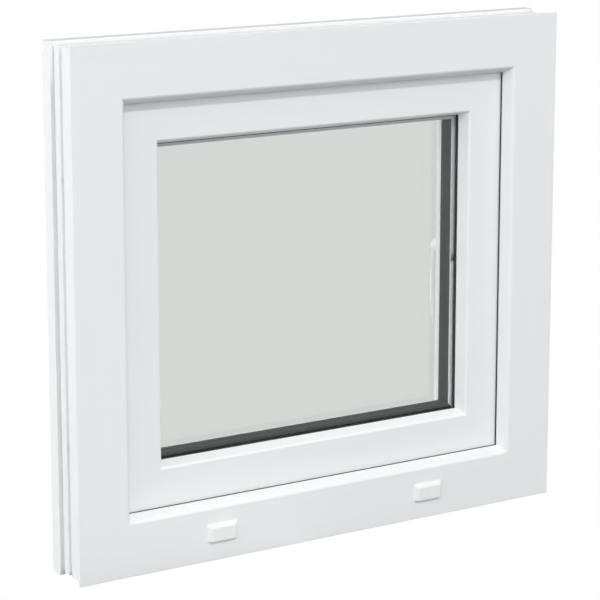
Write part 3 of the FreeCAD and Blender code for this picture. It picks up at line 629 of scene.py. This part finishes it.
def sweep_round(name: str, node: str, section: Section) -> bpy.types.Object:
    """Sweep a closed section round the window, mitred at the corners.

    The section is drawn by extruding a rectangular edge loop from corner to corner of it.

    Args:
        name: The piece's name.
        node: The CAD node whose outer rectangle and front the section is measured from.
        section: Corners as millimetres inwards from that rectangle and behind that front.

    Returns:
        The new piece.
    """
    low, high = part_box(node)
    middle = (low + high) / 2
    width, height = high.x - low.x, high.z - low.z

    def across(inwards: float) -> tuple[float, float]:
        """Width and height of the loop this far in."""
        return width - 2 * inwards * MM, height - 2 * inwards * MM

    first_in, first_back = section[0]
    first_wide, first_tall = across(first_in)
    bpy.ops.object.select_all(action="DESELECT")
    bpy.ops.mesh.primitive_plane_add(size=1, rotation=(math.pi / 2, 0, 0),
                                     location=(middle.x, low.y + first_back * MM, middle.z))
    piece = bpy.context.object
    piece.name = name
    piece.scale = (first_wide, first_tall, 1)
    settle(piece)
    with editing(piece, "EDGE"):
        bpy.ops.mesh.select_all(action="SELECT")
        bpy.ops.mesh.delete(type="ONLY_FACE")
        bpy.ops.mesh.select_all(action="SELECT")
        before_in, before_back = first_in, first_back
        for inwards, back in section[1:]:
            bpy.ops.mesh.extrude_edges_move(
                TRANSFORM_OT_translate={"value": (0, (back - before_back) * MM, 0)})
            old, new = across(before_in), across(inwards)
            bpy.ops.transform.resize(value=(new[0] / old[0], 1, new[1] / old[1]),
                                     center_override=(middle.x, low.y + back * MM, middle.z))
            before_in, before_back = inwards, back
        bpy.ops.mesh.select_all(action="DESELECT")
        bpy.ops.mesh.select_non_manifold()
        bpy.ops.mesh.bridge_edge_loops()
        bpy.ops.mesh.select_all(action="SELECT")
        bpy.ops.mesh.normals_make_consistent(inside=False)
    piece.data.name = name
    return piece


def ring_size(node: str) -> tuple[float, float]:
    """How far a ring's section reaches inwards and how deep it is.

    Args:
        node: The ring's CAD node.

    Returns:
        Reach and depth in millimetres.
    """
    low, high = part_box(node)
    middle = (low.x + high.x) / 2
    inner = min(abs(vertex.co.x - middle) for vertex in frame["nodes"][node].data.vertices)
    return ((high.x - low.x) / 2 - inner) / MM, (high.y - low.y) / MM


def loose_boxes(node: str) -> list[tuple[Vector, Vector]]:
    """The boxes of a CAD node's separate solids, lowest first.

    Args:
        node: A node that holds several solids.

    Returns:
        The lowest and highest corner of each.
    """
    piece = merged_copy(node, "loose")
    with editing(piece, "VERT"):
        bpy.ops.mesh.select_all(action="SELECT")
        bpy.ops.mesh.separate(type="LOOSE")
    boxes = []
    for part in list(bpy.context.selected_objects):
        spots = [vertex.co.copy() for vertex in part.data.vertices]
        low = Vector(min(spot[axis] for spot in spots) for axis in range(3))
        high = Vector(max(spot[axis] for spot in spots) for axis in range(3))
        boxes.append((low, high))
        bpy.data.objects.remove(part)
    return sorted(boxes, key=lambda pair: tuple(round(value, 6) for value in pair[0]))


def join(pieces: list[bpy.types.Object], name: str) -> bpy.types.Object:
    """Join pieces into one object.

    Args:
        pieces: Two or more pieces.
        name: The joined piece's name.

    Returns:
        The joined piece.
    """
    take_up(pieces[0])
    for piece in pieces[1:]:
        piece.select_set(True)
    bpy.ops.object.join()
    pieces[0].name = name
    return pieces[0]


def cut_away(piece: bpy.types.Object, tool: bpy.types.Object) -> None:
    """Cut a tool's shape out of a piece and throw the tool away.

    Args:
        piece: The piece to cut.
        tool: The shape to take out of it.
    """
    apply_modifier(piece, "BOOLEAN", operation="DIFFERENCE", object=tool, solver="EXACT")
    bpy.data.objects.remove(tool)


# ---------------------------------------------------------------- The rings of bars


@dataclass
class Ring:
    """Four mitred uPVC bars with a steel in each, all on one body."""

    body: str
    lip_radius: float
    edge_radius: float = 0.9
    edge_facets: int = 3
    least_edge: float = 30.0
    steel_radius: float = 1.0
    seal_lip: float = 1.1

    def mitred(self, node: str, side: Side, radius: float, lip: float = 0.0) -> None:
        """Refine one mitred length of uPVC.

        Args:
            node: Its CAD node.
            side: Its side of the window.
            radius: The radius of its edges in millimetres.
            lip: How far the rounding at its sloped lip reaches, in millimetres.
        """
        piece = refine(node, radius, self.edge_facets, self.least_edge, True, lip)
        hand_over(piece, UPVC_LEVEL if side.level else UPVC_UPRIGHT, self.body, node)

    def bar(self, side: Side) -> None:
        """Refine one bar.

        Args:
            side: The bar's side of the window.
        """
        self.mitred(f"{self.body}_{side.value}_{side.bar}", side, self.edge_radius,
                    self.lip_radius)

    def steel(self, side: Side) -> None:
        """Refine one steel, whose folded edges are round.

        Args:
            side: The steel's side of the window.
        """
        node = f"{self.body}_steel_{side.value}"
        hand_over(refine(node, self.steel_radius, 2, self.least_edge), GALVANISED, self.body,
                  node)


@dataclass
class FixedFrame(Ring):
    """The four mitred bars, their steels and the weather seal between frame and sash."""

    body: str = "frame"
    lip_radius: float = 3.0
    seal_nose: float = 0.4

    def build(self) -> None:
        """Make and dress the whole frame."""
        for side in Side:
            self.bar(side)
            self.steel(side)
        self.seal()

    def seal(self) -> None:
        """Sweep the weather seal: a bead that tapers to a lip which leans on the sash."""
        lip = self.seal_lip
        reach, depth = ring_size("frame_seal")
        reach += self.seal_nose
        section = [(0, 0), (0, lip), (reach * 0.45, lip + 0.1), (reach * 0.7, depth * 0.8),
                   (reach - lip * 0.7, depth), (reach, depth - 0.2), (reach, 0.2),
                   (reach - lip * 0.4, 0)]
        piece = sweep_round("frame_weather_seal", "frame_seal", section)
        soften(piece, SEAL_EDGE, 2)
        smooth(piece, 50)
        hand_over(piece, EPDM, "frame", "frame_seal")


@dataclass
class DrainCaps:
    """The two hooded caps over the frame's drain slots."""

    slope: float = 4.0
    wall: float = 1.6
    edge_radius: float = 1.3
    facets: int = 4

    def build(self) -> None:
        """Make and dress both caps."""
        for node in ("drain_cap_left", "drain_cap_right"):
            hand_over(self.cap(node), CAP_WHITE, "frame", node)

    def cap(self, node: str) -> bpy.types.Object:
        """Shape one cap from a block: sloped at the top and sides, flat in front, open below.

        Args:
            node: The cap's CAD node.

        Returns:
            The cap.
        """
        low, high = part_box(node)
        size, middle = high - low, (low + high) / 2
        piece = block(middle, size)
        piece.name = f"{node}_hood"
        choose(piece, "FACE", lambda face: face.normal.y < -0.9)
        with editing(piece):
            narrow = 1 - 2 * self.slope * MM / size.x
            lower = 1 - self.slope * MM / size.z
            bpy.ops.transform.resize(value=(narrow, 1, lower),
                                     center_override=(middle.x, low.y, low.z))
        self.round_off(piece, low)
        hollow(piece, lambda face: face.normal.y > 0.9 or face.normal.z < -0.9, self.wall)
        smooth(piece, 40)
        return piece

    def round_off(self, piece: bpy.types.Object, low: Vector) -> None:
        """Round the block's upper corners and front edges, and leave its foot and back crisp.

        Args:
            piece: The block.
            low: Its lowest corner.
        """
        def raised(edge: bpy.types.MeshEdge) -> bool:
            """True for an edge that is neither at the foot nor at the back."""
            start, end = (piece.data.vertices[index].co for index in edge.vertices)
            at_back = min(start.y, end.y) > low.y + 1 * MM
            at_foot = max(start.z, end.z) < low.z + 0.1 * MM
            return not at_foot and not at_back

        bevel(piece, "EDGE", raised, self.edge_radius, self.facets, clamp=True)


# ---------------------------------------------------------------- The sash and its glass


@dataclass
class Sash(Ring):
    """The sash's bars, steels, seal and glazing beads."""

    body: str = "sash"
    lip_radius: float = 2.4
    bead_radius: float = 1.6
    notch_gap: float = 1.0

    def build(self) -> None:
        """Make and dress the whole sash."""
        for side in Side:
            self.bar(side)
            self.mitred(f"glazing_bead_{side.value}", side, self.bead_radius)
            self.steel(side)
        self.seal()

    def seal(self) -> None:
        """Sweep the room-side seal and notch it where the stay arm passes."""
        lip = self.seal_lip
        reach, depth = ring_size("sash_seal")
        section = [(0, depth), (reach * 0.6, depth), (reach * 0.85, depth * 0.7),
                   (reach, depth * 0.35), (reach, 0.25), (reach - lip * 0.7, 0),
                   (reach * 0.7, depth * 0.3), (reach * 0.4, depth - lip), (0, depth - lip)]
        piece = sweep_round("sash_room_seal", "sash_seal", section)
        soften(piece, SEAL_EDGE, 2)
        low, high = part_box("stay_arm")
        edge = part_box("sash_seal")[0]
        notch = block(Vector((edge.x, low.y, (low.z + high.z) / 2)),
                      Vector((4 * reach * MM, 1, high.z - low.z + 2 * self.notch_gap * MM)))
        cut_away(piece, notch)
        smooth(piece, 50)
        hand_over(piece, EPDM, "sash", "sash_seal")


@dataclass
class Glazing:
    """The sealed unit: two panes, the spacer bar and its sealant, gaskets and setting blocks."""

    arris: float = 0.6
    nose_radius: float = 0.6
    spacer_shoulder: float = 1.2
    spacer_groove: float = 1.5
    groove_depth: float = 0.5
    spacer_edge: float = 0.15
    sealant_dish: float = 0.8
    block_edge: float = 0.8

    def build(self) -> None:
        """Make and dress the whole unit."""
        for node in ("outer_pane", "inner_pane"):
            hand_over(refine(node, self.arris), GLASS, "sash", node)
        self.gaskets()
        self.spacer()
        hand_over(self.edge_sealant(), SEALANT, "sash", "edge_sealant")
        hand_over(refine("setting_blocks", self.block_edge), BLOCK, "sash", "setting_blocks")

    def gaskets(self) -> None:
        """Sweep the two glazing gaskets, each with a round nose on the glass."""
        for node in ("outer_glazing_gasket", "inner_glazing_gasket"):
            reach, depth = ring_size(node)
            section = [(0, 0), (0, depth), (reach, depth), (reach, 0)]
            piece = sweep_round(f"{node}_lip", node, section)
            soften(piece, self.nose_radius, 3)
            smooth(piece, 40)
            hand_over(piece, GASKET, "sash", node)

    def spacer(self) -> None:
        """Sweep the spacer bar: black, grooved at the back, bare on its front flank except at the
        sill, whose black flank is painted shade.
        """
        high, deep = ring_size("spacer_bar")
        step, groove, floor = self.spacer_shoulder, self.spacer_groove, high - self.groove_depth
        middle = deep / 2
        section = [(0, step), (step, 0), (high - step / 2, 0), (high, step / 2),
                   (high, middle - groove), (floor, middle - groove * 0.6),
                   (floor, middle + groove * 0.6), (high, middle + groove),
                   (high, deep - step / 2), (high - step / 2, deep), (step, deep),
                   (0, deep - step)]
        piece = sweep_round("spacer_bar_profile", "spacer_bar", section)
        soften(piece, self.spacer_edge, 1)
        smooth(piece, 50)
        hand_over(piece, SPACER_BLACK, "sash", "spacer_bar")
        # The flank above the sill gets the bare metal; the sill's flank keeps the black as painted
        # shade.
        piece.data.materials.append(SPACER_FLANK_UNSHADED.material())
        for face in piece.data.polygons:
            face.material_index = int(self.flank(face))

    def flank(self, face: bpy.types.MeshPolygon) -> bool:
        """Tell the bare part of the front flank from the rest of the spacer bar; the sill's flank
        is left black as painted shade.

        Args:
            face: One of the spacer bar's faces.

        Returns:
            True on the front flank, and its shoulder, of an upright or the top bar.
        """
        low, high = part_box("spacer_bar")
        # Only faces above the lowest quarter count, so the sill bar's flank stays black as painted
        # shade.
        outside_painted_shade = face.center.z - low.z > (high.z - low.z) / 4
        in_front = face.center.y < low.y + (self.spacer_shoulder + 0.1) * MM
        return outside_painted_shade and in_front and face.normal.y < -0.3

    def edge_sealant(self) -> bpy.types.Object:
        """Sweep the sealant that fills the edge behind the spacer bar, with a tooled dish."""
        high, deep = ring_size("edge_sealant")
        dish = self.sealant_dish
        section = [(0, 0), (high, 0), (high, deep), (0, deep), (dish, deep * 0.8),
                   (dish * 1.3, deep * 0.5), (dish, deep * 0.2)]
        piece = sweep_round("edge_sealant_fillet", "edge_sealant", section)
        smooth(piece, 40)
        return piece


# ---------------------------------------------------------------- Ironmongery


@dataclass
class Ironmongery:
    """Hinges, stay, locking gear and their screws, in zinc-plated steel, and their white covers."""

    edge_radius: float = 0.35
    cover_radius: float = 1.6
    head_radius: float = 3.6
    head_rise: float = 0.9
    head_edge: float = 0.5
    recess_long: float = 4.2
    recess_wide: float = 0.9
    recess_deep: float = 0.7

    def build(self) -> None:
        """Make and dress every metal piece and its cover."""
        owners = {node: body for body, nodes in frame["record"]["behaviour"]["bodies"].items()
                  for node in nodes}
        for node in ("side_keeps", "top_keep", "lower_bearing", "tilt_pin", "stay_bearing",
                     "corner_pivot", "corner_band", "gearbox_case", "side_faceplate",
                     "top_faceplate", "corner_drive", "handle_screws", "stay_pin",
                     "side_drive_rod", "side_cams", "top_drive_rod", "top_cam", "stay_arm",
                     "bearing_pin", "drive_pinion", "handle_spindle"):
            hand_over(refine(node, self.edge_radius), ZINC, owners[node], node)
        for node in ("lower_bearing_cover", "stay_bearing_cover"):
            piece = refine(node, self.cover_radius, 4)
            hand_over(piece, CAP_WHITE, "frame", node)
        for node in ("keep_screws", "bearing_screws", "band_screws"):
            hand_over(self.screws(node), ZINC, owners[node], node)

    def screws(self, node: str) -> bpy.types.Object:
        """Screws in place of a node's plain shanks, each with a domed cross-recessed head.

        Args:
            node: The CAD node that holds the shanks.

        Returns:
            All its screws as one piece.
        """
        centre = (CAD_LOW + CAD_HIGH) / 2
        head = self.head()
        screws = [merged_copy(node, f"{node}_shanks")]
        for low, high in loose_boxes(node):
            size, middle = high - low, (low + high) / 2
            axis = max(range(3), key=lambda index: size[index])
            out = Vector((0, 0, 0))
            out[axis] = 1.0 if axis == 1 or centre[axis] > middle[axis] else -1.0
            copy = head.copy()
            copy.data = head.data.copy()
            bpy.context.scene.collection.objects.link(copy)
            copy.rotation_mode = "QUATERNION"
            copy.rotation_quaternion = out.to_track_quat("Z", "Y")
            copy.location = middle + out * (size[axis] / 2)
            settle(copy)
            screws.append(copy)
        bpy.data.objects.remove(head)
        piece = join(screws, f"{node}_with_heads")
        smooth(piece, 40)
        return piece

    def head(self) -> bpy.types.Object:
        """Model one screw head standing on the origin: a low dome with a cross sunk into it."""
        rise = self.head_rise * MM
        head = cylinder(Vector((0, 0, rise / 2)), self.head_radius, rise, 24, into_room=False)
        bevel(head, "FACE", lambda face: face.normal.z > 0.9, self.head_edge, 3)
        recess = Vector((self.recess_long, self.recess_wide, 2 * self.recess_deep)) * MM
        for turn in (0, math.pi / 2):
            cut_away(head, block(Vector((0, 0, rise)), recess, turn))
        return head


# ---------------------------------------------------------------- The handle


@dataclass
class Handle:
    """The white lever handle on the room side, its rose and the rose's cover."""

    stations: int = 22
    around: int = 28
    tip_out: float = 40.0
    bow: float = 10.0
    bow_start: float = 0.08
    bow_share: float = 0.8
    half_width: float = 9.6
    half_thick: float = 6.0
    end_share: float = 0.35
    end_narrowing: float = 0.08
    neck_radius: float = 9.0
    neck_sunk: float = 0.1
    bore_gap: float = 0.1
    remesh: float = 1.1
    rose_corner: float = 5.0
    corner_facets: int = 10
    rose_edge: float = 2.0
    edge_facets: int = 6
    rose_wall: float = 1.5

    def build(self) -> None:
        """Make and dress the lever, the rose cover and the rose's plate."""
        hand_over(self.lever(), HANDLE_WHITE, "handle", "handle_lever")
        hand_over(self.rose(), HANDLE_WHITE, "sash", "rose_cover")
        plate = merged_copy("handle_rose", "handle_rose_plate")
        self.round_corners(plate)
        smooth(plate)
        hand_over(plate, ZINC, "sash", "handle_rose")

    def round_corners(self, piece: bpy.types.Object) -> None:
        """Round the four corners of a plate that lies against the sash.

        Args:
            piece: The plate.
        """
        spots = [vertex.co.copy() for vertex in piece.data.vertices]
        sides = [(min(spot[axis] for spot in spots), max(spot[axis] for spot in spots))
                 for axis in (0, 2)]

        def at_corner(edge: bpy.types.MeshEdge) -> bool:
            """True for an edge across the plate at one of its four corners."""
            start, end = (spots[index] for index in edge.vertices)
            return abs(start.y - end.y) > 1 * MM and all(
                min(abs(start[axis] - side) for side in pair) < 0.1 * MM
                for axis, pair in zip((0, 2), sides))

        bevel(piece, "EDGE", at_corner, self.rose_corner, self.corner_facets)

    def spindle(self) -> Vector:
        """The middle of the spindle."""
        low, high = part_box("handle_spindle")
        return (low + high) / 2

    def lever(self) -> bpy.types.Object:
        """Model the lever: an oval grip that bows into the room, blended into a round neck."""
        piece = join([self.grip(), self.neck()], "handle_lever_cast")
        apply_modifier(piece, "REMESH", mode="VOXEL", voxel_size=self.remesh * MM)
        apply_modifier(piece, "SMOOTH", factor=0.5, iterations=6)
        take_up(piece)
        bpy.ops.object.shade_smooth()
        return piece

    def grip(self) -> bpy.types.Object:
        """Extrude an oval from the lever's tip to its head, bowed and swelling in the middle."""
        low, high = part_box("handle_lever")
        length, middle = high.z - low.z, self.spindle().x
        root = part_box("handle_rose")[0].y

        def place(share: float) -> tuple[float, float, float]:
            """Depth, half width and half thickness at a share of the lever's length."""
            swell = max(1 - abs(2 * share - 1) ** 6, 0.0) ** 0.5
            full = self.end_share + (1 - self.end_share) * swell
            narrowed = 1 - self.end_narrowing * (1 - swell)
            bow = self.bow * math.sin(math.pi * (self.bow_start + self.bow_share * share))
            return (root + (self.tip_out + bow) * MM, self.half_width * full * narrowed * MM,
                    self.half_thick * full * MM)

        out, wide, thick = place(0.0)
        bpy.ops.object.select_all(action="DESELECT")
        bpy.ops.mesh.primitive_circle_add(vertices=self.around, radius=1.0, fill_type="NGON",
                                          location=(middle, out, low.z))
        grip = bpy.context.object
        grip.scale = (wide, thick, 1)
        settle(grip)
        with editing(grip):
            bpy.ops.mesh.select_all(action="SELECT")
            for index in range(1, self.stations + 1):
                share = index / self.stations
                new_out, new_wide, new_thick = place(share)
                bpy.ops.mesh.extrude_region_move(TRANSFORM_OT_translate={"value": (0, 0, 0)})
                bpy.ops.transform.translate(
                    value=(0, new_out - out, length / self.stations))
                bpy.ops.transform.resize(
                    value=(new_wide / wide, new_thick / thick, 1),
                    center_override=(middle, new_out, low.z + length * share))
                out, wide, thick = new_out, new_wide, new_thick
            bpy.ops.mesh.select_all(action="SELECT")
            bpy.ops.mesh.remove_doubles(threshold=0.01 * MM)
            bpy.ops.mesh.normals_make_consistent(inside=False)
        return grip

    def neck(self) -> bpy.types.Object:
        """Model the round neck that carries the grip."""
        low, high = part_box("handle_lever")
        reach = self.tip_out * MM + (high.y - low.y) * self.neck_sunk
        middle = self.spindle()
        middle.y = low.y + reach / 2
        return cylinder(middle, self.neck_radius, reach, 32)

    def rose(self) -> bpy.types.Object:
        """Model the rose cover: a softly rounded shell, open at the back, bored for the neck."""
        low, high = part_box("rose_cover")
        size = high - low
        piece = block((low + high) / 2, size)
        piece.name = "rose_cover_shell"
        self.round_corners(piece)
        bevel(piece, "FACE", lambda face: face.normal.y > 0.9, self.rose_edge, self.edge_facets)
        hollow(piece, lambda face: face.normal.y < -0.9, self.rose_wall)
        middle = self.spindle()
        middle.y = high.y
        cut_away(piece, cylinder(middle, self.neck_radius + self.bore_gap, 4 * size.y, 48))
        smooth(piece, 40)
        return piece


# ---------------------------------------------------------------- Studio


@dataclass(frozen=True)
class Glow:
    """A broad soft light in the sky: its direction, its strength and how narrow it is."""

    way: tuple[float, float, float]
    strength: float
    focus: float


@dataclass
class Studio:
    """A plain pale floor, soft studio light from all round, a key light and the camera."""

    floor_width: float = 40000.0
    floor_gap: float = 0.5
    floor_seen: float = 1.0
    floor_glow: float = 0.72
    floor_light: float = 0.06
    sky: float = 0.26
    glows: tuple[Glow, ...] = (
        Glow((-1.0, 0.0, 0.05), 5.0, 12.0),
        Glow((-0.55, 0.8, 0.25), 2.4, 6.0),
        Glow((-0.2, -1.0, 0.1), 1.43, 2.0),
    )
    sun_height: float = 42.5
    sun_strength: float = 0.93
    sun_width: float = 3.0
    lens: float = 140.4
    film_width: float = 36.0
    sight: float = 200.0
    shift: float = -0.1
    camera_place: tuple[float, float, float] = (-1425.0, -2240.0, 888.0)
    camera_turn: float = 32.14
    camera_drop: float = 11.44

    def build(self) -> None:
        """Set up the floor, the light and the camera."""
        self.floor()
        self.world()
        self.sun()
        self.camera()
        bpy.context.scene.view_settings.view_transform = "Standard"

    def floor(self) -> None:
        """Lay the floor, which shows as white paper and glows a soft grey at the window."""
        bpy.ops.object.select_all(action="DESELECT")
        bpy.ops.mesh.primitive_plane_add(size=self.floor_width * MM,
                                         location=(0, 0, CAD_LOW.z - self.floor_gap * MM))
        floor = bpy.context.object
        floor.name = "studio_floor"
        material = bpy.data.materials.new("white_paper_floor")
        material.use_nodes = True
        tree = material.node_tree
        tree.nodes.clear()
        ray = add_node(tree, "ShaderNodeLightPath")
        cast = add_node(tree, "ShaderNodeMapRange",
                        {"To Min": self.floor_glow, "To Max": self.floor_light},
                        {"Value": (ray, "Is Diffuse Ray")})
        glow = add_node(tree, "ShaderNodeMix", {"data_type": "FLOAT", "B_Float": self.floor_seen},
                        {"Factor_Float": (ray, "Is Camera Ray"), "A_Float": (cast, "Result")})
        light = add_node(tree, "ShaderNodeEmission", {"Color": linear("#ffffff")},
                         {"Strength": (glow, "Result_Float")})
        add_node(tree, "ShaderNodeOutputMaterial", links={"Surface": (light, "Emission")})
        floor.data.materials.append(material)

    def world(self) -> None:
        """Light all round: a soft sky with the broad glows in it, seen as white paper."""
        world = bpy.data.worlds.new("studio_light")
        bpy.context.scene.world = world
        world.use_nodes = True
        tree = world.node_tree
        tree.nodes.clear()
        way = add_node(tree, "ShaderNodeTexCoord")
        total = add_node(tree, "ShaderNodeValue")
        total.outputs["Value"].default_value = self.sky
        for glow in self.glows:
            toward = add_node(tree, "ShaderNodeVectorMath",
                              {"operation": "DOT_PRODUCT",
                               "Vector_001": Vector(glow.way).normalized()},
                              {"Vector": (way, "Generated")})
            ahead = add_node(tree, "ShaderNodeMath", {"operation": "MAXIMUM", "Value_001": 0.0},
                             {"Value": (toward, "Value")})
            focus = add_node(tree, "ShaderNodeMath", {"operation": "POWER",
                                                      "Value_001": glow.focus},
                             {"Value": (ahead, "Value")})
            total = add_node(tree, "ShaderNodeMath",
                             {"operation": "MULTIPLY_ADD", "Value_001": glow.strength},
                             {"Value": (focus, "Value"), "Value_002": (total, "Value")})
        ray = add_node(tree, "ShaderNodeLightPath")
        shown = add_node(tree, "ShaderNodeMix", {"data_type": "FLOAT", "B_Float": self.floor_seen},
                         {"Factor_Float": (ray, "Is Camera Ray"), "A_Float": (total, "Value")})
        light = add_node(tree, "ShaderNodeBackground", {"Color": linear("#ffffff")},
                         {"Strength": (shown, "Result_Float")})
        add_node(tree, "ShaderNodeOutputWorld", links={"Surface": (light, "Background")})

    def sun(self) -> None:
        """Hang the main light high in front of the window."""
        bpy.ops.object.select_all(action="DESELECT")
        bpy.ops.object.light_add(type="SUN", rotation=(math.radians(90 - self.sun_height), 0, 0))
        sun = bpy.context.object
        sun.name = "studio_key_light"
        sun.data.energy = self.sun_strength
        sun.data.angle = math.radians(self.sun_width)

    def camera(self) -> None:
        """Stand the camera ahead, to the left and above, looking down a little."""
        bpy.ops.object.camera_add(
            location=[value * MM for value in self.camera_place],
            rotation=(math.radians(90 - self.camera_drop), 0, math.radians(-self.camera_turn)))
        camera = bpy.context.object
        camera.name = "studio_camera"
        camera.data.lens = self.lens
        camera.data.sensor_width = self.film_width
        camera.data.shift_y = self.shift
        camera.data.clip_end = self.sight
        bpy.context.scene.camera = camera


def main() -> None:
    """Build every sub-assembly in order, then the studio."""
    logging.basicConfig(level=logging.INFO, format="%(message)s")
    for assembly in (FixedFrame(), DrainCaps(), Sash(), Glazing(), Ironmongery(), Handle(),
                     Studio()):
        assembly.build()
        LOG.info("built %s", type(assembly).__name__)


if __name__ == "__main__":
    main()
